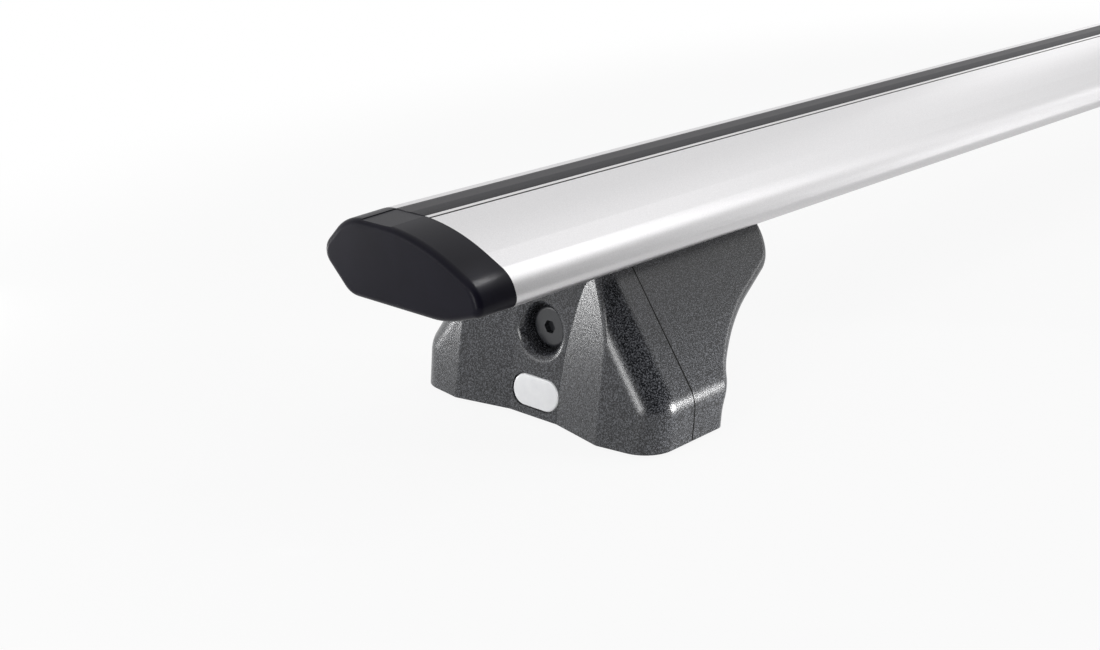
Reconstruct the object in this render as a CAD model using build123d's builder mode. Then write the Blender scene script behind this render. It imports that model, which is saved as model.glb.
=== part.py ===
# Roof rack crossbar: a wing-shaped aluminium bar on two moulded feet that bolt to a roof's fixing points.
# X runs along the bar, Y along the vehicle and Z up. The origin lies on the roof, below the bar's middle.
# The foot is drawn at the left end, with its x measured inwards from that end of the bar.
import os
from math import cos, radians, sin, tan

from build123d import *

os.makedirs("parts", exist_ok=True)

# Bar: overall sizes and the wing outline, as sharp corners with a radius on each
bar_length = 1143.0
bar_chord = 80.0
bar_height = 30.45
bar_wall = 2.2
bar_underside = 62.25
front_tip_height = 15.1
front_low_angle = 43.5
front_high_angle = 46.2
rear_low_height = 6.3
rear_low_angle = 18.0
rear_face_height = 10.25
rear_face_angle = 71.5
rear_top_angle = 25.7
front_low_radius = 10.0
front_tip_radius = 7.0
front_high_radius = 18.0
rear_top_radius = 82.0
rear_high_radius = 12.0
rear_low_radius = 4.2
bottom_rear_radius = 40.0

# Top slot with its rubber strip, and the fine groove beside it
slot_offset = 12.4
strip_width = 15.2
strip_depth = 2.0
slot_opening = 11.0
slot_lip = 2.0
slot_cavity_width = 20.4
slot_cavity_height = 6.5
strip_clearance = 0.1
strip_stem_height = 4.6
strip_barb_width = 13.0
strip_barb_height = 1.6
groove_offset = 2.3
groove_width = 1.0
groove_depth = 1.1

# Channel in the underside and the web above it
channel_opening = 8.0
channel_lip = 2.4
channel_width = 17.0
channel_height = 6.0
channel_wall = 2.0
web_offset = 6.0

# End cap
cap_length = 18.5
cap_draw_in = 0.35
cap_sink = 0.3
cap_edge_radius = 2.8
cap_groove_depth = 0.25
plug_length = 15.0
plug_wall = 2.0
plug_clearance = 0.25

# Foot: side walls seen along the bar
skirt_height = 1.0
base_half_width = 61.9
side_flare_angle = 3.7
side_bend_height = 18.4
side_slope_angle = 34.9
side_bend_radius = 15.0
shell_wall = 3.0
saddle_clearance = 0.3

# Foot: faceted front
ridge_x = 45.4
ridge_y = 37.3
front_sweep = 0.158
front_lean = 0.14
front_corner_radius = 13.0
ridge_edge_radius = 3.0
ridge_reach = 5.0
facet_x = 54.1
facet_sweep = 0.231
facet_lean = 0.136
panel_base_x = 51.2
panel_middle_x = 54.4
panel_top_x = 57.0
panel_middle_height = 25.0
panel_top_height = 57.0

# Foot: curved inner end seen from the side
inner_x = 95.0
inner_start_height = 5.5
inner_knee_radius = 22.0
inner_knee_angle = 50.0
inner_sweep_radius = 100.0
inner_sweep_angle = 19.5
inner_run = 17.6
inner_tip_radius = 16.0
inner_edge_radius = 4.5

# Parting between outer cover and foot body
seam_x = 73.8
seam_gap = 0.4

# Recess for the cover screw
recess_height = 36.0
recess_radius = 9.7
recess_rim_radius = 4.0
recess_wall = 2.6
recess_floor = 3.0

# Cover screw and its nut
screw_head_x = 61.4
screw_head_radius = 8.7
screw_head_height = 4.0
screw_head_edge = 1.6
screw_radius = 4.0
screw_length = 17.5
socket_flats = 5.0
socket_depth = 2.6
nut_flats = 13.0
nut_height = 6.8
screw_hole_clearance = 0.5
thread_clearance = 0.05

# Badge
badge_height = 10.8
badge_length = 24.0
badge_width = 13.0
badge_thickness = 1.0
badge_recess = 1.1
badge_clearance = 0.25

# Steel bracket
bracket_thickness = 4.0
bracket_bend = 3.0
bracket_width = 44.0
bracket_reach = 146.0
plate_start_x = 60.0
plate_end_x = 90.0
plate_length = 100.0
plate_corner_radius = 6.0

# Rubber pad and the bolt holes to the roof
pad_thickness = 3.0
pad_clearance = 0.6
pad_groove_width = 2.0
pad_groove_depth = 0.8
pad_groove_count = 5
pad_groove_pitch = 20.0
fixing_spacing = 68.0
fixing_hole_radius = 3.4
fixing_x = 79.0

# Clamp plate in the channel, with its screws and washers
clamp_first_x = 104.0
clamp_pitch = 24.0
clamp_plate_end = 8.0
clamp_plate_thickness = 5.0
clamp_plate_side_clearance = 0.4
clamp_lift = 0.1
clamp_screw_radius = 3.0
clamp_hole_clearance = 0.3
clamp_head_radius = 5.25
clamp_head_height = 3.3
clamp_head_edge = 1.2
clamp_socket_flats = 4.0
clamp_socket_depth = 2.0
clamp_washer_radius = 6.0
clamp_washer_thickness = 1.2
key_hole_radius = 2.8

# Ribs inside the foot body
rib_thickness = 2.5
rib_clearance = 0.5

# Spare length of the shapes that cut, and the margins for finding edges
stock = 20.0
middle_margin = 3.0
match_margin = 0.05

# Worked-out sizes
bar_top = bar_underside + bar_height
end_x = -bar_length / 2
seat_floor = bar_height - strip_depth
cavity_top = seat_floor - slot_lip
cavity_floor = cavity_top - slot_cavity_height
channel_top = channel_lip + channel_height
recess_floor_x = screw_head_x + screw_head_height
upright_x = recess_floor_x + recess_floor
saddle_underside = bar_underside - saddle_clearance - shell_wall
flange_underside = saddle_underside - bracket_thickness
clamp_xs = [clamp_first_x, clamp_first_x + clamp_pitch]
tall = bar_top + stock
wide = 2 * base_half_width + 2 * stock


def overreach(radius, low_angle, high_angle):
    # How far a sharp corner stands out beyond the arc that rounds it
    turn = radians(high_angle + low_angle) / 2
    tilt = radians(high_angle - low_angle) / 2
    return radius * (cos(tilt) / sin(turn) - 1)


def wing_outline(grow):
    # Bar outline as seen along X: y along the chord, z from the flat underside
    front_y = bar_chord / 2 + overreach(front_tip_radius, front_low_angle, front_high_angle)
    rear_y = -bar_chord / 2 - overreach(rear_low_radius, rear_low_angle, rear_face_angle)
    rear_high_y = rear_y + rear_face_height / tan(radians(rear_face_angle))
    rear_high_z = rear_low_height + rear_face_height
    corners = [
        (front_y - front_tip_height / tan(radians(front_low_angle)), 0),
        (front_y, front_tip_height),
        (front_y - (bar_height - front_tip_height) / tan(radians(front_high_angle)), bar_height),
        (rear_high_y + (bar_height - rear_high_z) / tan(radians(rear_top_angle)), bar_height),
        (rear_high_y, rear_high_z),
        (rear_y, rear_low_height),
        (rear_y + rear_low_height / tan(radians(rear_low_angle)), 0),
    ]
    radii = [
        front_low_radius,
        front_tip_radius,
        front_high_radius,
        rear_top_radius,
        rear_high_radius,
        rear_low_radius,
        bottom_rear_radius,
    ]
    with BuildSketch() as outline:
        with BuildLine():
            FilletPolyline(*corners, radius=radii, close=True)
        make_face()
        if grow:
            offset(amount=grow, mode=Mode.REPLACE)
    return outline.sketch


def bar_plane(x):
    # Plane across the bar, with its origin on the bar's underside
    return Plane(origin=(x, 0, bar_underside), x_dir=(0, 1, 0), z_dir=(1, 0, 0))


def span(low, high):
    # Rectangle between two corners
    with Locations(((low[0] + high[0]) / 2, (low[1] + high[1]) / 2)):
        return Rectangle(high[0] - low[0], high[1] - low[1])


# Bar extrusion
with BuildPart() as crossbar:
    with BuildSketch(bar_plane(end_x)):
        add(wing_outline(0))
        add(wing_outline(-bar_wall), mode=Mode.SUBTRACT)
        half_box = slot_cavity_width / 2 + channel_wall
        span((slot_offset - half_box, cavity_floor - channel_wall), (slot_offset + half_box, seat_floor))
        half_box = channel_width / 2 + channel_wall
        span((-half_box, bar_wall / 2), (half_box, channel_top + channel_wall))
        span((web_offset - channel_wall / 2, channel_top), (web_offset + channel_wall / 2, cavity_floor))
        with BuildSketch(mode=Mode.SUBTRACT):
            half = slot_cavity_width / 2
            span((slot_offset - half, cavity_floor), (slot_offset + half, cavity_top))
            span((slot_offset - slot_opening / 2, cavity_floor), (slot_offset + slot_opening / 2, bar_height))
            span((slot_offset - strip_width / 2, seat_floor), (slot_offset + strip_width / 2, bar_top))
            span((groove_offset - groove_width / 2, bar_height - groove_depth),
                 (groove_offset + groove_width / 2, bar_top))
            span((-channel_width / 2, channel_lip), (channel_width / 2, channel_top))
            span((-channel_opening / 2, -stock), (channel_opening / 2, channel_top))
    extrude(amount=bar_length)

# Rubber strip in the top slot, flush with the wing's crown
with BuildPart() as slot_strip:
    with BuildSketch(bar_plane(end_x)):
        add(wing_outline(0))
        half = strip_width / 2 - strip_clearance
        with BuildSketch(mode=Mode.INTERSECT):
            span((slot_offset - half, seat_floor), (slot_offset + half, bar_top))
        half = slot_opening / 2 - strip_clearance
        span((slot_offset - half, seat_floor - strip_stem_height), (slot_offset + half, seat_floor))
        barb_top = cavity_top - strip_clearance
        span((slot_offset - strip_barb_width / 2, barb_top - strip_barb_height),
             (slot_offset + strip_barb_width / 2, barb_top))
    extrude(amount=bar_length)

# End cap: drawn in towards its face, with a groove in line with the strip and hollow plugs in the bar's chambers
with BuildPart() as end_cap:
    with BuildSketch(bar_plane(end_x)):
        add(wing_outline(0))
    with BuildSketch(bar_plane(end_x - cap_length)):
        with Locations((0, -cap_sink)):
            add(wing_outline(-cap_draw_in))
    loft(ruled=True)
    fillet(end_cap.faces().sort_by(Axis.X)[0].edges(), cap_edge_radius)
    slope = (cap_draw_in + cap_sink) / cap_length
    with BuildSketch(Plane.XZ.offset(-slot_offset)):
        with BuildLine():
            groove_z = bar_top - cap_groove_depth
            Polyline(
                (end_x, groove_z),
                (end_x - cap_length - stock, groove_z - slope * (cap_length + stock)),
                (end_x - cap_length - stock, tall),
                (end_x, tall),
                close=True,
            )
        make_face()
    extrude(amount=strip_width / 2, both=True, mode=Mode.SUBTRACT)
    chambers = crossbar.faces().sort_by(Axis.X)[0].inner_wires()
    for chamber in chambers:
        plug = offset(Face(chamber), amount=-plug_clearance, mode=Mode.PRIVATE)
        core = offset(Face(chamber), amount=-plug_clearance - plug_wall, mode=Mode.PRIVATE)
        extrude(plug - core, amount=plug_length, dir=(1, 0, 0))


def slanted(edge):
    # True for an edge off the middle plane that runs up or down
    return abs(edge.center().Y) > middle_margin and edge.bounding_box().size.Z > match_margin


def foot_block(inset):
    # Side walls, curved inner end and swept front of the foot, each moved in by inset
    flare = tan(radians(side_flare_angle))
    base_y = base_half_width - flare * stock
    bend_y = base_half_width + flare * side_bend_height
    block_top = bar_underside + front_tip_height
    top_y = bend_y - tan(radians(side_slope_angle)) * (block_top - side_bend_height)
    with BuildPart() as block:
        with BuildSketch(Plane.YZ):
            with BuildLine():
                FilletPolyline(
                    (base_y, -stock),
                    (bend_y, side_bend_height),
                    (top_y, block_top),
                    (-top_y, block_top),
                    (-bend_y, side_bend_height),
                    (-base_y, -stock),
                    radius=[0, side_bend_radius, 0, 0, side_bend_radius, 0],
                    close=True,
                )
            make_face()
            if inset:
                offset(amount=-inset, mode=Mode.REPLACE)
        extrude(amount=2 * bracket_reach)
        with BuildSketch(Plane.XZ):
            with BuildLine():
                base = Line((inner_x, -stock), (inner_x, inner_start_height))
                knee = JernArc(base @ 1, base % 1, inner_knee_radius, -inner_knee_angle)
                flank = JernArc(knee @ 1, knee % 1, inner_sweep_radius, -inner_sweep_angle)
                run = PolarLine(flank @ 1, inner_run, direction=flank % 1)
                tip = JernArc(run @ 1, run % 1, inner_tip_radius, inner_knee_angle + inner_sweep_angle)
                Polyline(tip @ 1, ((tip @ 1).X, tall), (0, tall), (0, -stock), base @ 0)
            make_face()
            if inset:
                offset(amount=-inset, mode=Mode.REPLACE)
        extrude(amount=wide, both=True, mode=Mode.INTERSECT)
        for side in (1, -1):
            normal = Vector(1, -side * front_sweep, -front_lean).normalized()
            origin = Vector(ridge_x, side * ridge_y, 0) + normal * inset
            split(bisect_by=Plane(origin=origin, z_dir=normal), keep=Keep.TOP)
        corners = block.edges().filter_by(slanted)
        fillet(corners.filter_by(lambda e: e.center().X < seam_x), front_corner_radius - inset)
        corners = block.edges().filter_by(slanted)
        fillet(corners.filter_by(lambda e: e.center().X > plate_end_x), inner_edge_radius - inset)
    return block.part


def panel_arc(inset):
    # Centre panel of the front, seen from the side
    return ThreePointArc(
        (panel_base_x + inset, 0),
        (panel_middle_x + inset, panel_middle_height),
        (panel_top_x + inset, panel_top_height),
    )


def front_groove(inset):
    # Space in front of the centre panel and of the two facets beside it
    with BuildPart() as groove:
        with BuildSketch(Plane.XZ):
            with BuildLine():
                panel = panel_arc(inset)
                low = ((panel @ 0).X, -2 * stock)
                Polyline(panel @ 1, ((panel @ 1).X, tall), (0, tall), (0, -2 * stock), low, panel @ 0)
            make_face()
        extrude(amount=wide, both=True)
        for side in (1, -1):
            normal = Vector(1, side * facet_sweep, -facet_lean).normalized()
            origin = Vector(facet_x, 0, 0) + normal * inset
            split(bisect_by=Plane(origin=origin, z_dir=normal), keep=Keep.BOTTOM)
    return groove.part


def on_ridge(edge):
    # True for an edge where a facet meets the front of a leg
    middle = edge.center()
    beside = abs(abs(middle.Y) - ridge_y) < ridge_reach
    return beside and middle.X < seam_x and edge.bounding_box().size.Z > stock


def foot_form(inset):
    # Whole foot under the bar, with every wall moved in by inset
    with BuildPart() as form:
        add(foot_block(inset))
        add(front_groove(inset), mode=Mode.SUBTRACT)
        with BuildSketch(bar_plane(-stock)):
            add(wing_outline(saddle_clearance + inset))
        extrude(amount=2 * bracket_reach, mode=Mode.SUBTRACT)
    return form.part


foot_solid = foot_form(0)
foot_solid = foot_solid.fillet(ridge_edge_radius, foot_solid.edges().filter_by(on_ridge))
foot_hollow = foot_form(shell_wall)
panel_line = panel_arc(0)
badge_point = panel_line @ (badge_height / panel_top_height)
badge_tangent = panel_line % (badge_height / panel_top_height)
badge_plane = Plane(
    origin=(badge_point.X, 0, badge_point.Y),
    x_dir=(0, -1, 0),
    z_dir=(-badge_tangent.Y, 0, badge_tangent.X),
)
badge_corner = badge_width / 2 - badge_clearance
screw_plane = Plane(origin=(0, 0, recess_height), x_dir=(1, 0, 0), z_dir=(0, -1, 0))
screw_axis = Axis((0, 0, recess_height), (1, 0, 0))


def across(x):
    # Plane across the foot, centred on the cover screw
    return Plane(origin=(x, 0, recess_height), x_dir=(0, 1, 0), z_dir=(1, 0, 0))


def on_recess_rim(edge):
    # True for the edge where the recess breaks through the panel
    point = edge @ 0
    reach = Vector(0, point.Y, point.Z - recess_height).length
    return abs(reach - recess_radius) < match_margin and edge.geom_type != GeomType.LINE


# Tube behind the recess, which ends against the bracket
with BuildPart() as recess_tube:
    with BuildSketch(across(ridge_x)):
        Circle(recess_radius + recess_wall)
    extrude(amount=upright_x - ridge_x)
    add(foot_solid, mode=Mode.INTERSECT)

# Outer cover
with BuildPart() as outer_cover:
    add(foot_solid)
    add(foot_hollow, mode=Mode.SUBTRACT)
    add(recess_tube.part)
    split(bisect_by=Plane.YZ.offset(seam_x - seam_gap / 2), keep=Keep.BOTTOM)
    split(bisect_by=Plane.XY.offset(skirt_height), keep=Keep.TOP)
    with BuildSketch(across(ridge_x)):
        Circle(recess_radius)
    extrude(amount=recess_floor_x - ridge_x, mode=Mode.SUBTRACT)
    rim = outer_cover.edges().filter_by(on_recess_rim).sort_by(Axis.X)[0]
    fillet(rim, recess_rim_radius)
    with BuildSketch(across(recess_floor_x)):
        Circle(screw_radius + screw_hole_clearance)
    extrude(amount=recess_floor, mode=Mode.SUBTRACT)
    with BuildSketch(badge_plane.offset(-badge_recess)):
        RectangleRounded(badge_length + 2 * badge_clearance, badge_width + 2 * badge_clearance, badge_corner)
    extrude(amount=stock, mode=Mode.SUBTRACT)

# Bare badge plate
with BuildPart() as badge:
    with BuildSketch(badge_plane.offset(-badge_recess)):
        RectangleRounded(badge_length, badge_width, badge_corner - badge_clearance)
    extrude(amount=badge_thickness)

# Ribs that carry the saddle beside the bracket
with BuildPart() as ribs:
    rib_y = bracket_width / 2 + rib_clearance + rib_thickness / 2
    with BuildSketch(Plane.XY.offset(pad_thickness + bracket_thickness + rib_clearance)):
        with Locations((seam_x + bracket_reach / 2, rib_y), (seam_x + bracket_reach / 2, -rib_y)):
            Rectangle(bracket_reach, rib_thickness)
    extrude(amount=tall)
    add(foot_form(shell_wall / 2), mode=Mode.INTERSECT)

# Foot body behind the seam, with its saddle and key holes
with BuildPart() as foot_body:
    add(foot_solid)
    add(foot_hollow, mode=Mode.SUBTRACT)
    add(ribs.part)
    split(bisect_by=Plane.YZ.offset(seam_x + seam_gap / 2), keep=Keep.TOP)
    split(bisect_by=Plane.XY.offset(skirt_height), keep=Keep.TOP)
    with BuildSketch(Plane.XY.offset(flange_underside)):
        with Locations(*[(x, 0) for x in clamp_xs]):
            Circle(clamp_screw_radius + clamp_hole_clearance)
    extrude(amount=tall, mode=Mode.SUBTRACT)
    with BuildSketch(Plane.XY):
        with Locations(*[(x, 0) for x in clamp_xs]):
            Circle(key_hole_radius)
    extrude(amount=flange_underside, mode=Mode.SUBTRACT)

# Steel bracket: folded upright and flange, welded to its base plate
with BuildPart() as bracket:
    with BuildSketch(Plane.XZ):
        with BuildLine():
            back_x = upright_x + bracket_thickness
            FilletPolyline(
                (upright_x, pad_thickness),
                (upright_x, saddle_underside),
                (bracket_reach, saddle_underside),
                (bracket_reach, flange_underside),
                (back_x, flange_underside),
                (back_x, pad_thickness),
                radius=[0, bracket_bend + bracket_thickness, 0, 0, bracket_bend, 0],
                close=True,
            )
        make_face()
    extrude(amount=bracket_width / 2, both=True)
    with BuildSketch(Plane.XY.offset(pad_thickness)):
        with Locations(((plate_start_x + plate_end_x) / 2, 0)):
            RectangleRounded(plate_end_x - plate_start_x, plate_length, plate_corner_radius)
        with Locations((fixing_x, fixing_spacing / 2), (fixing_x, -fixing_spacing / 2)):
            Circle(fixing_hole_radius, mode=Mode.SUBTRACT)
    extrude(amount=bracket_thickness)
    with BuildSketch(across(upright_x)):
        Circle(screw_radius + screw_hole_clearance)
    extrude(amount=bracket_thickness, mode=Mode.SUBTRACT)
    with BuildSketch(Plane.XY.offset(flange_underside)):
        with Locations(*[(x, 0) for x in clamp_xs]):
            Circle(clamp_screw_radius + clamp_hole_clearance)
    extrude(amount=bracket_thickness, mode=Mode.SUBTRACT)

# Rubber pad inside the skirt, grooved underneath
with BuildPart() as foot_pad:
    add(foot_form(shell_wall + pad_clearance))
    split(bisect_by=Plane.XY.offset(pad_thickness), keep=Keep.BOTTOM)
    split(bisect_by=Plane.XY, keep=Keep.TOP)
    with BuildSketch(Plane.XY):
        with Locations((fixing_x, fixing_spacing / 2), (fixing_x, -fixing_spacing / 2)):
            Circle(fixing_hole_radius + pad_clearance)
    extrude(amount=pad_thickness, mode=Mode.SUBTRACT)
    with BuildSketch(Plane.XY):
        with Locations((seam_x, 0)):
            with GridLocations(0, pad_groove_pitch, 1, pad_groove_count):
                Rectangle(2 * seam_x, pad_groove_width)
    extrude(amount=pad_groove_depth, mode=Mode.SUBTRACT)

# Cover screw: flanged head with a hexagon socket
with BuildPart() as cover_screw:
    with BuildSketch(screw_plane):
        with BuildLine():
            tip_x = recess_floor_x + screw_length
            Polyline(
                (screw_head_x, 0),
                (screw_head_x, screw_head_radius),
                (recess_floor_x, screw_head_radius),
                (recess_floor_x, screw_radius),
                (tip_x, screw_radius),
                (tip_x, 0),
                close=True,
            )
        make_face()
    revolve(axis=screw_axis)
    fillet(cover_screw.faces().sort_by(Axis.X)[0].edges(), screw_head_edge)
    with BuildSketch(across(screw_head_x)):
        RegularPolygon(socket_flats / 2, 6, major_radius=False)
    extrude(amount=socket_depth, mode=Mode.SUBTRACT)

# Nut behind the bracket
with BuildPart() as cover_nut:
    with BuildSketch(across(upright_x + bracket_thickness)):
        RegularPolygon(nut_flats / 2, 6, major_radius=False)
        Circle(screw_radius + thread_clearance, mode=Mode.SUBTRACT)
    extrude(amount=nut_height)

# Threaded plate in the bar's channel
with BuildPart() as slot_plate:
    plate_z = bar_underside + channel_lip + clamp_lift
    with BuildSketch(Plane.XY.offset(plate_z)):
        with Locations(((clamp_xs[0] + clamp_xs[1]) / 2, 0)):
            Rectangle(clamp_pitch + 2 * clamp_plate_end, channel_width - 2 * clamp_plate_side_clearance)
        with Locations(*[(x, 0) for x in clamp_xs]):
            Circle(clamp_screw_radius + thread_clearance, mode=Mode.SUBTRACT)
    extrude(amount=clamp_plate_thickness)

# Washers and screws that draw the plate down
washer_z = flange_underside - clamp_washer_thickness
with BuildPart() as clamp_washers:
    with BuildSketch(Plane.XY.offset(washer_z)):
        with Locations(*[(x, 0) for x in clamp_xs]):
            Circle(clamp_washer_radius)
            Circle(clamp_screw_radius + clamp_hole_clearance, mode=Mode.SUBTRACT)
    extrude(amount=clamp_washer_thickness)

with BuildPart() as clamp_screws:
    head_z = washer_z - clamp_head_height
    with BuildSketch(Plane.XY.offset(head_z)):
        with Locations(*[(x, 0) for x in clamp_xs]):
            Circle(clamp_head_radius)
    extrude(amount=clamp_head_height)
    fillet(clamp_screws.faces().filter_by(Plane.XY).group_by(Axis.Z)[0].edges(), clamp_head_edge)
    with BuildSketch(Plane.XY.offset(head_z)):
        with Locations(*[(x, 0) for x in clamp_xs]):
            RegularPolygon(clamp_socket_flats / 2, 6, major_radius=False)
    extrude(amount=clamp_socket_depth, mode=Mode.SUBTRACT)
    with BuildSketch(Plane.XY.offset(washer_z)):
        with Locations(*[(x, 0) for x in clamp_xs]):
            Circle(clamp_screw_radius)
    extrude(amount=plate_z + clamp_plate_thickness - washer_z)


def write(part, name):
    part.label = name
    export_step(part, f"parts/{name}.step")


def write_pair(part, name):
    # The piece at the left end and its mirror image at the right end
    write(part, f"left_{name}")
    write(mirror(part, about=Plane.YZ), f"right_{name}")


write(crossbar.part, "crossbar")
write(slot_strip.part, "slot_strip")
write_pair(end_cap.part, "end_cap")
foot_pieces = {
    "outer_cover": outer_cover,
    "foot_body": foot_body,
    "bracket": bracket,
    "foot_pad": foot_pad,
    "cover_screw": cover_screw,
    "cover_nut": cover_nut,
    "badge": badge,
    "slot_plate": slot_plate,
    "clamp_screws": clamp_screws,
    "clamp_washers": clamp_washers,
}
for name, piece in foot_pieces.items():
    write_pair(piece.part.moved(Location((end_x, 0, 0))), name)
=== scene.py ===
import math

import bpy
import numpy as np
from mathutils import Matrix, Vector


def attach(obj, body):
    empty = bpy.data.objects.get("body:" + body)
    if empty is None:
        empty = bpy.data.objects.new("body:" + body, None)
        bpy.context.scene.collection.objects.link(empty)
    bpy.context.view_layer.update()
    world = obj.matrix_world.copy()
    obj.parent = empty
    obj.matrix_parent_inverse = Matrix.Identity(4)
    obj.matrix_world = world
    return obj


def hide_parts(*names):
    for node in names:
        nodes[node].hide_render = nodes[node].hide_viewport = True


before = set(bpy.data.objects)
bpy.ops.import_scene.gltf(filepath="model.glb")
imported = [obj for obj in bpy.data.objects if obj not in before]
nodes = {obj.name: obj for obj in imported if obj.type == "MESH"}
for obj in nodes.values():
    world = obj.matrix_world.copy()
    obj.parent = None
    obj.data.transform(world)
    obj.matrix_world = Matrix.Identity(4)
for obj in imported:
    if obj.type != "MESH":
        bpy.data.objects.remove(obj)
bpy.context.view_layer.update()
scene = bpy.context.scene
print("frame loaded:", len(nodes), "pieces")


# small helpers for node trees; the owner is a material, or the world
def newFinish(name, constants=None):
    finish = bpy.data.materials.new(name)
    finish.use_nodes = True
    shader = finish.node_tree.nodes["Principled BSDF"]
    for socket, value in (constants or {}).items():
        shader.inputs[socket].default_value = value
    return finish, shader


def addNode(owner, kind, settings=None, **sockets):
    made = owner.node_tree.nodes.new(kind)
    for name, value in (settings or {}).items():
        setattr(made, name, value)
    for name, value in sockets.items():
        made.inputs[name].default_value = value
    return made


def wire(owner, source, sourceSocket, target, targetSocket):
    owner.node_tree.links.new(source.outputs[sourceSocket], target.inputs[targetSocket])


def objectCoords(finish, stretch=(1, 1, 1), shift=(0, 0, 0)):
    coords = addNode(finish, "ShaderNodeTexCoord")
    mapping = addNode(finish, "ShaderNodeMapping", Scale=stretch, Location=shift)
    wire(finish, coords, "Object", mapping, "Vector")
    return mapping


def noiseOn(finish, place, scale, detail=2.0, roughness=0.5):
    noise = addNode(finish, "ShaderNodeTexNoise", Scale=scale, Detail=detail, Roughness=roughness)
    wire(finish, place, "Vector", noise, "Vector")
    return noise


def axesOf(finish, place):
    axes = addNode(finish, "ShaderNodeSeparateXYZ")
    wire(finish, place, "Vector", axes, "Vector")
    return axes


def shareOf(finish, source, sourceSocket, low, high):
    # 0 at the low value, 1 at the high one
    share = addNode(finish, "ShaderNodeMapRange", **{"From Min": low, "From Max": high})
    wire(finish, source, sourceSocket, share, "Value")
    return share


def rampOn(finish, source, sourceSocket, stops):
    ramp = addNode(finish, "ShaderNodeValToRGB")
    elements = ramp.color_ramp.elements
    while len(elements) < len(stops):
        elements.new(0.5)
    for element, (place, colour) in zip(elements, stops):
        element.position = place
        element.color = (*colour, 1)
    wire(finish, source, sourceSocket, ramp, "Fac")
    return ramp


def toneOn(finish, shader, source, stops, sourceSocket="Fac"):
    wire(finish, rampOn(finish, source, sourceSocket, stops), "Color", shader, "Base Color")


def shadedTone(finish, shader, tone, shade):
    # tone times a painted shade as the base colour; inputs 6 and 7 and output 2 are the Mix
    # node's colours
    product = addNode(finish, "ShaderNodeMix", {"data_type": "RGBA", "blend_type": "MULTIPLY"},
                      Factor=1.0)
    wire(finish, tone, "Color", product, 6)
    wire(finish, shade, "Color", product, 7)
    wire(finish, product, 2, shader, "Base Color")


def roughOn(finish, shader, source, span):
    rough = addNode(finish, "ShaderNodeMapRange", **{"To Min": span[0], "To Max": span[1]})
    wire(finish, source, "Fac", rough, "Value")
    wire(finish, rough, "Result", shader, "Roughness")


def bumpOn(finish, shader, source, strengthAndDepth, sourceSocket="Fac", below=None):
    strength, depth = strengthAndDepth
    bump = addNode(finish, "ShaderNodeBump", Strength=strength, Distance=depth)
    wire(finish, source, sourceSocket, bump, "Height")
    if below:
        wire(finish, below, "Normal", bump, "Normal")
    wire(finish, bump, "Normal", shader, "Normal")
    return bump


def dress(finish, *names):
    for name in names:
        nodes[name].data.materials.clear()
        nodes[name].data.materials.append(finish)


def bothEnds(*pieces):
    return [side + piece for side in ("left_", "right_") for piece in pieces]


# satin anodised bar: a fine even grain, faint drawing lines along X, and painted shade darkening
# the groove floor by the strip; the stops of the painted shade are shares of the way across the
# groove in Y
barLook = {
    "tones": [(0.3, (0.600, 0.594, 0.602)), (0.7, (0.660, 0.653, 0.661))],
    "grain": 2200, "grainDetail": 1.0, "lines": (4, 900, 900), "lineDetail": 3.0,
    "groove": (0.0013, 0.0033),
    # painted shade on the groove floor by the strip
    "paintedGrooveShade": [(0.22, (1, 1, 1)), (0.27, (0.22, 0.22, 0.22)),
                    (0.73, (0.22, 0.22, 0.22)), (0.78, (1, 1, 1))],
    "rough": (0.39, 0.44), "bump": (0.12, 0.0001),
}


def anodisedBar(look):
    finish, shader = newFinish("anodised_bar", {"Metallic": 1.0})
    lines = noiseOn(finish, objectCoords(finish, look["lines"]), 1.0, look["lineDetail"])
    grain = noiseOn(finish, objectCoords(finish), look["grain"], look["grainDetail"])
    tone = rampOn(finish, grain, "Fac", look["tones"])
    # painted shade: the groove floor is darkened in the bar's own colour
    across = shareOf(finish, axesOf(finish, objectCoords(finish)), "Y", *look["groove"])
    shadedTone(finish, shader, tone, rampOn(finish, across, "Result", look["paintedGrooveShade"]))
    roughOn(finish, shader, lines, look["rough"])
    bumpOn(finish, shader, grain, look["bump"])
    return finish


dress(anodisedBar(barLook), "crossbar")
print("bar finished")


# rubber strip: painted shade and light in soft bands across its width, from its near edge to its
# far one, dark by the near edge and light at the far one, and faint ribs
stripLook = {
    "edges": (0.0048, 0.0200), "gloss": 0.12,
    "paintedShadeAndLight": [(0.00, (0.020, 0.020, 0.022)), (0.12, (0.036, 0.035, 0.039)),
              (0.45, (0.048, 0.047, 0.052)), (0.56, (0.095, 0.093, 0.098)),
              (0.88, (0.090, 0.088, 0.093)), (1.00, (0.150, 0.148, 0.152))],
    "speckle": 1800, "rough": (0.48, 0.62), "speckleBump": (0.15, 0.0001),
    "ribs": (1, 2600, 1), "ribDetail": 1.0, "ribBump": (0.25, 0.0002),
}


def ribbedRubber(look):
    finish, shader = newFinish("strip_rubber", {"Specular IOR Level": look["gloss"]})
    across = shareOf(finish, axesOf(finish, objectCoords(finish)), "Y", *look["edges"])
    # painted shade and light across the strip's width
    toneOn(finish, shader, across, look["paintedShadeAndLight"], "Result")
    speckle = noiseOn(finish, objectCoords(finish), look["speckle"])
    roughOn(finish, shader, speckle, look["rough"])
    ribs = noiseOn(finish, objectCoords(finish, look["ribs"]), 1.0, look["ribDetail"])
    ribBump = bumpOn(finish, shader, ribs, look["ribBump"])
    bumpOn(finish, shader, speckle, look["speckleBump"], below=ribBump)
    return finish


dress(ribbedRubber(stripLook), "slot_strip")
print("strip finished")


# smooth black caps: nearly even, with a fine satin grain
capLook = {
    "tones": [(0.3, (0.0044, 0.0040, 0.0084)), (0.7, (0.0072, 0.0066, 0.0130))], "gloss": 0.1,
    "cloud": 45.0, "cloudDetail": 3.0,
    "grain": 2600, "rough": (0.32, 0.40), "bump": (0.10, 0.00008),
}


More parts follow.
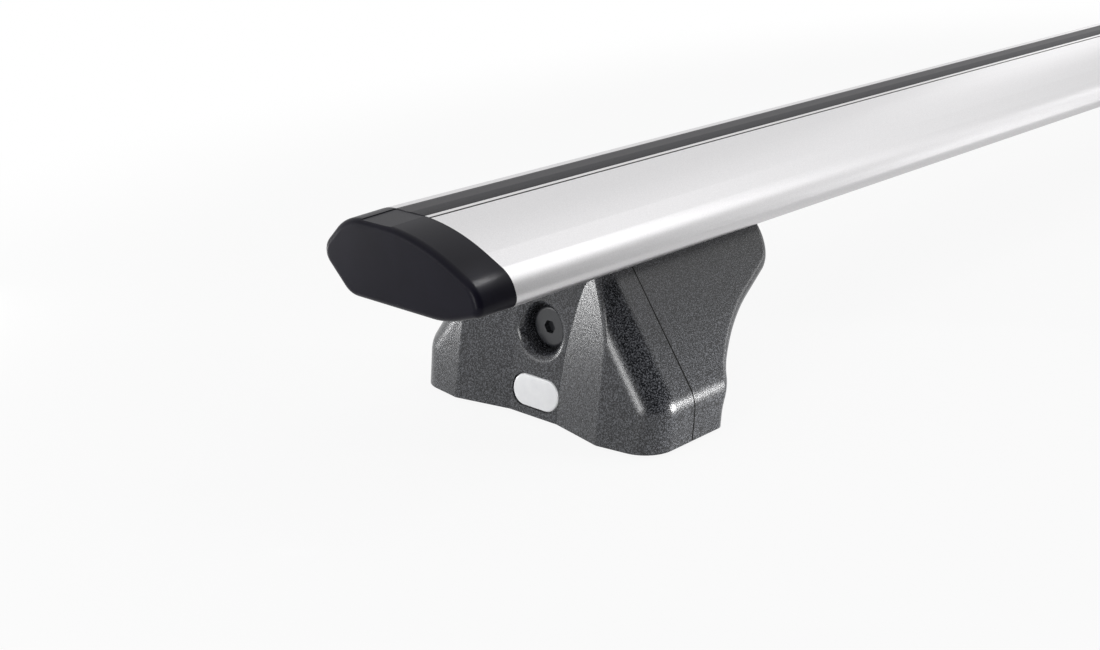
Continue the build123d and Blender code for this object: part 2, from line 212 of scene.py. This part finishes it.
def capPlastic(look):
    finish, shader = newFinish("cap_plastic", {"Specular IOR Level": look["gloss"]})
    cloud = noiseOn(finish, objectCoords(finish), look["cloud"], look["cloudDetail"])
    toneOn(finish, shader, cloud, look["tones"])
    grain = noiseOn(finish, objectCoords(finish), look["grain"])
    roughOn(finish, shader, grain, look["rough"])
    bumpOn(finish, shader, grain, look["bump"])
    return finish


dress(capPlastic(capLook), *bothEnds("end_cap"))
print("caps finished")


# charcoal foot plastic: coarse mould grain, light peaks on dark valleys, and a painted shadow of
# the gap between the covers along the parting line, full up to its half width and gone at its
# fade
footLook = {
    "tones": [(0.41, (0.005, 0.0055, 0.007)), (0.50, (0.025, 0.026, 0.030)),
              (0.60, (0.112, 0.116, 0.127))],
    "grain": 1700, "grainDetail": 2.5, "grainHarshness": 0.65, "grainBump": (0.09, 0.0004),
    "pits": 2200, "pitBump": (0.06, 0.0002), "rough": (0.20, 0.30),
    # painted shadow of the gap between the covers
    "seamX": 0.4977, "seamHalf": 0.0004, "seamFade": 0.00055, "seamShadowTone": (0.06,) * 3,
}


def paintedSeamShadow(finish, place, look):
    # painted shadow of the gap: dark where the size of X is close to the line's own X, by the
    # size of their difference
    outwards = addNode(finish, "ShaderNodeMath", {"operation": "ABSOLUTE"})
    wire(finish, axesOf(finish, place), "X", outwards, 0)
    past = addNode(finish, "ShaderNodeMath", {"operation": "SUBTRACT"})
    past.inputs[1].default_value = look["seamX"]
    wire(finish, outwards, "Value", past, 0)
    away = addNode(finish, "ShaderNodeMath", {"operation": "ABSOLUTE"})
    wire(finish, past, "Value", away, 0)
    clear = shareOf(finish, away, "Value", look["seamHalf"], look["seamFade"])
    return rampOn(finish, clear, "Result", [(0.0, look["seamShadowTone"]), (1.0, (1, 1, 1))])


def grainedPlastic(look):
    finish, shader = newFinish("foot_plastic")
    place = objectCoords(finish)
    grain = noiseOn(finish, place, look["grain"], look["grainDetail"], look["grainHarshness"])
    tone = rampOn(finish, grain, "Fac", look["tones"])
    # the painted shadow of the gap, multiplied into the grain's tone
    shadedTone(finish, shader, tone, paintedSeamShadow(finish, place, look))
    roughOn(finish, shader, grain, look["rough"])
    pits = addNode(finish, "ShaderNodeTexVoronoi", Scale=look["pits"])
    wire(finish, place, "Vector", pits, "Vector")
    pitBump = bumpOn(finish, shader, pits, look["pitBump"], "Distance")
    bumpOn(finish, shader, grain, look["grainBump"], below=pitBump)
    return finish


dress(grainedPlastic(footLook), *bothEnds("outer_cover", "foot_body"))
print("feet finished")


# pads: dull black rubber
padLook = {
    "tones": [(0.3, (0.014, 0.014, 0.014)), (0.7, (0.032, 0.032, 0.033))],
    "grain": 1600, "grainDetail": 3.0, "rough": (0.65, 0.85), "bump": (0.3, 0.0002),
}


def padRubber(look):
    finish, shader = newFinish("pad_rubber")
    grain = noiseOn(finish, objectCoords(finish), look["grain"], look["grainDetail"])
    toneOn(finish, shader, grain, look["tones"])
    roughOn(finish, shader, grain, look["rough"])
    bumpOn(finish, shader, grain, look["bump"])
    return finish


dress(padRubber(padLook), *bothEnds("foot_pad"))
print("pads finished")


# zinc plated steel inside the feet: soft spangle and a faint warm cast
steelLook = {
    "tones": [(0.35, (0.52, 0.53, 0.54)), (0.65, (0.66, 0.64, 0.58))],
    "spangle": 160, "spangleDetail": 4.0, "spangleHarshness": 0.6, "rough": (0.26, 0.46),
    "grain": 1400, "bump": (0.1, 0.0001),
}


def platedSteel(look):
    finish, shader = newFinish("plated_steel", {"Metallic": 1.0})
    place = objectCoords(finish)
    spangle = noiseOn(finish, place, look["spangle"],
                      look["spangleDetail"], look["spangleHarshness"])
    toneOn(finish, shader, spangle, look["tones"])
    roughOn(finish, shader, spangle, look["rough"])
    bumpOn(finish, shader, noiseOn(finish, place, look["grain"]), look["bump"])
    return finish


steelPieces = bothEnds("bracket", "cover_nut", "slot_plate", "clamp_screws", "clamp_washers")
dress(platedSteel(steelLook), *steelPieces)
print("steel finished")


# cover screws: black, with turning marks round the head, whose middle is at this height
screwLook = {
    "tones": [(0.2, (0.022, 0.023, 0.026)), (0.8, (0.033, 0.035, 0.039))], "gloss": 0.6,
    "height": 0.036, "marks": 900, "waver": 0.4, "rough": (0.18, 0.26), "bump": (0.06, 0.00005),
}


def blackSteel(look):
    finish, shader = newFinish("black_steel", {"Specular IOR Level": look["gloss"]})
    marks = addNode(finish, "ShaderNodeTexWave", {"wave_type": "RINGS", "rings_direction": "X"},
                    Scale=look["marks"], Distortion=look["waver"])
    centred = objectCoords(finish, shift=(0, 0, -look["height"]))
    wire(finish, centred, "Vector", marks, "Vector")
    toneOn(finish, shader, marks, look["tones"])
    roughOn(finish, shader, marks, look["rough"])
    bumpOn(finish, shader, marks, look["bump"])
    return finish


dress(blackSteel(screwLook), *bothEnds("cover_screw"))
print("screws finished")


# badge: a white plate with a low crown and a rolled rim, in place of the flat one
badge = {
    "length": 0.0240, "width": 0.0130, "thickness": 0.0010, "crown": 0.0005, "rim": 0.0006,
    "around": 160, "rings": 28, "rimRings": 8, "sideStretch": 40,
    "tones": [(0.3, (0.86, 0.865, 0.88)), (0.7, (0.92, 0.925, 0.935))],
    "pearl": 260.0, "pearlDetail": 3.0, "rough": (0.18, 0.28), "coat": 0.6, "coatRough": 0.08,
    "grain": 900, "grainDetail": 1.0, "bump": (0.03, 0.00005),
}


def whitePlate(look):
    finish, shader = newFinish("badge_white", {"Coat Weight": look["coat"],
                                               "Coat Roughness": look["coatRough"]})
    pearl = noiseOn(finish, objectCoords(finish), look["pearl"], look["pearlDetail"])
    toneOn(finish, shader, pearl, look["tones"])
    roughOn(finish, shader, pearl, look["rough"])
    grain = noiseOn(finish, objectCoords(finish), look["grain"], look["grainDetail"])
    bumpOn(finish, shader, grain, look["bump"])
    return finish


def meshPiece(name, points, faces, finish):
    mesh = bpy.data.meshes.new(name)
    mesh.from_pydata(points.tolist(), [], faces)
    mesh.polygons.foreach_set("use_smooth", np.ones(len(mesh.polygons), bool))
    mesh.materials.append(finish)
    piece = bpy.data.objects.new(name, mesh)
    scene.collection.objects.link(piece)
    return piece


def badgePlace(side):
    # middle and outward normal of the flat badge: the normal is its thinnest direction
    vertices = nodes[side + "_badge"].data.vertices
    corners = np.empty(len(vertices) * 3, np.float32)
    vertices.foreach_get("co", corners)
    corners = corners.reshape(-1, 3).astype(float)
    thinnest = np.linalg.svd(corners - corners.mean(0), full_matrices=False)[2][2]
    outward = -1.0 if side == "left" else 1.0
    centre = (corners.min(0) + corners.max(0)) / 2
    return centre, thinnest * np.sign(thinnest[0] * outward)


def badgePlate(side, shape, finish):
    # rings of a rounded slot, each shrunk towards the middle: the height is the crown, a parabola
    # of the shrink, less a quarter circle at the rim; the last rings close the edge and flat back
    centre, normal = badgePlace(side)
    along = np.array([0.0, 1.0, 0.0])
    across = np.cross(normal, along)
    turn = np.linspace(0, 2 * np.pi, shape["around"], endpoint=False)
    radius = shape["width"] / 2
    straight = shape["length"] / 2 - radius
    rimX = radius * np.cos(turn) + straight * np.clip(np.cos(turn) * shape["sideStretch"], -1, 1)
    rimY = radius * np.sin(turn)
    steps = np.linspace(0, np.pi / 2, shape["rimRings"])
    rolled = 1 - shape["rim"] / radius * (1 - np.sin(steps))
    flat = np.linspace(0, rolled[0], shape["rings"])
    shrink = np.concatenate([flat, rolled[1:], [1.0, 0.0]])
    crown = shape["crown"] * (1 - shrink ** 2)
    drop = np.concatenate([0 * flat, shape["rim"] * (1 - np.cos(steps[1:])), [0, 0]])
    half = shape["thickness"] / 2
    height = half + crown - drop
    height[-2:] = -half
    grid = (centre
            + shrink[:, None, None] * (rimX[None, :, None] * along + rimY[None, :, None] * across)
            + height[:, None, None] * normal)
    # the first and last rings are single points, joined to their neighbours by fans of triangles
    points = np.concatenate([grid[1:-1].reshape(-1, 3), grid[0, :1], grid[-1, :1]])
    index = np.arange(len(points) - 2).reshape(-1, shape["around"])
    following = np.roll(index, -1, axis=1)
    quads = np.stack([index[:-1], index[1:], following[1:], following[:-1]], -1).reshape(-1, 4)
    front = np.full_like(index[0], len(points) - 2)
    back = np.full_like(index[0], len(points) - 1)
    fans = np.concatenate([np.stack([front, index[0], following[0]], -1),
                           np.stack([index[-1], back, following[-1]], -1)])
    piece = meshPiece(side + "_badge_plate", points, quads.tolist() + fans.tolist(), finish)
    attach(piece, side + "_foot")
    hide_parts(side + "_badge")


badgeFinish = whitePlate(badge)
for side in ("left", "right"):
    badgePlate(side, badge, badgeFinish)
print("badges placed")


def backgroundRays(owner):
    # 1 for the rays that see the background, straight, mirrored or through glass, and else 0
    path = addNode(owner, "ShaderNodeLightPath")
    seen = addNode(owner, "ShaderNodeMath", {"operation": "ADD", "use_clamp": True})
    wire(owner, path, "Is Camera Ray", seen, 0)
    wire(owner, path, "Is Glossy Ray", seen, 1)
    either = addNode(owner, "ShaderNodeMath", {"operation": "ADD", "use_clamp": True})
    wire(owner, seen, "Value", either, 0)
    wire(owner, path, "Is Transmission Ray", either, 1)
    return either


# floor: pale, white to the camera far out, and it keeps a share of the shadow near the part
floorShape = {
    "size": 12.0, "level": -0.0003, "tone": (0.70, 0.70, 0.70, 1), "rough": 0.9,
    "stretch": (0.6, 1, 1), "shadeIn": 0.36, "shadeOut": 0.62, "keep": 0.09,
}


def paleFloor(shape):
    # a flat square at one level; its glow grows to full with the distance from the middle, where
    # X counts less than Y
    half, level = shape["size"] / 2, shape["level"]
    corners = np.array([[-half, -half, level], [half, -half, level],
                        [half, half, level], [-half, half, level]])
    finish, shader = newFinish("pale_floor", {"Base Color": shape["tone"],
                                              "Roughness": shape["rough"]})
    reach = addNode(finish, "ShaderNodeVectorMath", {"operation": "LENGTH"})
    wire(finish, objectCoords(finish, shape["stretch"]), "Vector", reach, 0)
    fade = addNode(finish, "ShaderNodeMapRange", {"interpolation_type": "SMOOTHSTEP"},
                   **{"From Min": shape["shadeIn"], "From Max": shape["shadeOut"],
                      "To Min": 1 - shape["keep"], "To Max": 1.0})
    wire(finish, reach, "Value", fade, "Value")
    share = addNode(finish, "ShaderNodeMath", {"operation": "MULTIPLY"})
    wire(finish, backgroundRays(finish), "Value", share, 0)
    wire(finish, fade, "Result", share, 1)
    glow = addNode(finish, "ShaderNodeEmission", Color=(1, 1, 1, 1), Strength=1.0)
    mix = addNode(finish, "ShaderNodeMixShader")
    wire(finish, share, "Value", mix, "Fac")
    wire(finish, shader, "BSDF", mix, 1)
    wire(finish, glow, "Emission", mix, 2)
    wire(finish, mix, "Shader", finish.node_tree.nodes["Material Output"], "Surface")
    floor = meshPiece("floor", corners, [[0, 1, 2, 3]], finish)


paleFloor(floorShape)
print("floor laid")


# studio: a white room that metal shows too, and a dimmer light from it on the part
roomLook = {"fill": 0.42, "tint": (0.98, 0.99, 1.0, 1)}


def studioRoom(look):
    world = bpy.data.worlds.new("studio")
    scene.world = world
    world.use_nodes = True
    fill = world.node_tree.nodes["Background"]
    fill.inputs["Strength"].default_value = look["fill"]
    fill.inputs["Color"].default_value = look["tint"]
    white = addNode(world, "ShaderNodeBackground", Color=(1, 1, 1, 1), Strength=1.0)
    mix = addNode(world, "ShaderNodeMixShader")
    wire(world, backgroundRays(world), "Value", mix, "Fac")
    wire(world, fill, "Background", mix, 1)
    wire(world, white, "Background", mix, 2)
    wire(world, mix, "Shader", world.node_tree.nodes["World Output"], "Surface")


studioRoom(roomLook)


# dark card round the front, which keeps the front faces deep and the edges clear
cardShape = {
    "middle": (-0.5, 0.0), "radius": 1.5, "height": 2.0, "start": 203.0, "stop": 314.0,
    "columns": 49, "rows": 9, "tone": (0.03, 0.03, 0.03, 1), "rough": 0.9,
}


def darkCard(shape):
    # part of an upright cylinder: the angle runs along the columns, the height up the rows
    angle = np.radians(np.linspace(shape["start"], shape["stop"], shape["columns"]))[None, :]
    rise = np.linspace(0.0, shape["height"], shape["rows"])[:, None]
    points = np.stack([shape["middle"][0] + shape["radius"] * np.cos(angle) + 0 * rise,
                       shape["middle"][1] + shape["radius"] * np.sin(angle) + 0 * rise,
                       rise + 0 * angle], -1)
    index = np.arange(angle.size * rise.size).reshape(rise.size, angle.size)
    quads = np.stack([index[:-1, :-1], index[1:, :-1], index[1:, 1:], index[:-1, 1:]], -1)
    finish = newFinish("dark_card", {"Base Color": shape["tone"], "Roughness": shape["rough"]})[0]
    card = meshPiece("dark_card", points.reshape(-1, 3), quads.reshape(-1, 4).tolist(), finish)
    card.visible_camera = False


darkCard(cardShape)


# soft lamps: where each stands, what it points at, its size, power and the angle it lights
lamps = {
    "ceiling": {"at": (-0.2, 0.0, 2.0), "to": (-0.2, 0.0, 0.0),
                "size": (2.4, 2.4), "watts": 5.0, "spread": 180},
    "overBar": {"at": (0.163, -0.383, 0.683), "to": (-0.5, 0.0, 0.04),
                "size": (0.30, 0.30), "watts": 0.65, "spread": 180},
    "overCap": {"at": (0.068, -0.152, 0.849), "to": (-0.57, -0.03, 0.08),
                "size": (0.20, 0.20), "watts": 0.7, "spread": 180},
    "capSheen": {"at": (-0.3265, -0.105, 0.376), "to": (-0.5840, -0.0350, 0.0793),
                 "size": (0.010, 0.005), "watts": 0.00013, "spread": 2},
    "left": {"at": (-1.473, -0.172, 0.187), "to": (-0.52, -0.05, 0.03),
             "size": (0.24, 0.24), "watts": 2.9, "spread": 180},
    "leftSoft": {"at": (-1.30, 0.56, 0.25), "to": (-0.52, 0.0, 0.04),
                 "size": (0.50, 0.40), "watts": 1.4, "spread": 180},
    "leftBack": {"at": (-0.66, 0.30, 0.012), "to": (-0.517, -0.02, 0.05),
                 "size": (0.12, 0.02), "watts": 0.20, "spread": 180},
    "rightLow": {"at": (-0.38, -0.22, 0.024), "to": (-0.497, -0.0565, 0.012),
                 "size": (0.30, 0.044), "watts": 0.064, "spread": 20},
    "rightRim": {"at": (0.397, -0.418, 0.179), "to": (-0.41, -0.05, 0.04),
                 "size": (0.20, 0.12), "watts": 0.014, "spread": 40},
    "rightFoot": {"at": (1.15, -0.45, 0.55), "to": (0.53, -0.03, 0.03),
                  "size": (0.24, 0.24), "watts": 0.16, "spread": 60},
    "rightBack": {"at": (1.15, 0.45, 0.55), "to": (0.53, 0.0, 0.03),
                  "size": (0.30, 0.30), "watts": 0.10, "spread": 60},
}


def softLamp(name, lamp):
    light = bpy.data.lights.new(name, "AREA")
    light.shape = "RECTANGLE"
    light.size, light.size_y = lamp["size"]
    light.energy = lamp["watts"]
    light.spread = math.radians(lamp["spread"])
    box = bpy.data.objects.new(name, light)
    scene.collection.objects.link(box)
    aim = Vector(lamp["to"]) - Vector(lamp["at"])
    box.location = lamp["at"]
    box.rotation_euler = aim.to_track_quat("-Z", "Y").to_euler()
    box.visible_camera = False


for name, lamp in lamps.items():
    softLamp(name, lamp)
print("studio lit")


# camera: the photograph's own place and lens; the focal length is in pixels of its width
viewPoint = {
    "at": (-0.9621, -0.4065, 0.24535), "heading": 41.96, "dip": 18.94,
    "focal": 1634.0, "across": 1100.0, "sensor": 36.0, "nearest": 0.01,
}


def photoCamera(point):
    lens = bpy.data.cameras.new("camera")
    lens.sensor_width = point["sensor"]
    lens.lens = point["focal"] * point["sensor"] / point["across"]
    lens.clip_start = point["nearest"]
    eye = bpy.data.objects.new("camera", lens)
    scene.collection.objects.link(eye)
    heading, dip = math.radians(point["heading"]), math.radians(point["dip"])
    level = math.cos(dip)
    forward = Vector((level * math.cos(heading), level * math.sin(heading), -math.sin(dip)))
    eye.location = point["at"]
    eye.rotation_euler = forward.to_track_quat("-Z", "Y").to_euler()
    scene.camera = eye


photoCamera(viewPoint)
scene.view_settings.view_transform = "Standard"
print("camera set")
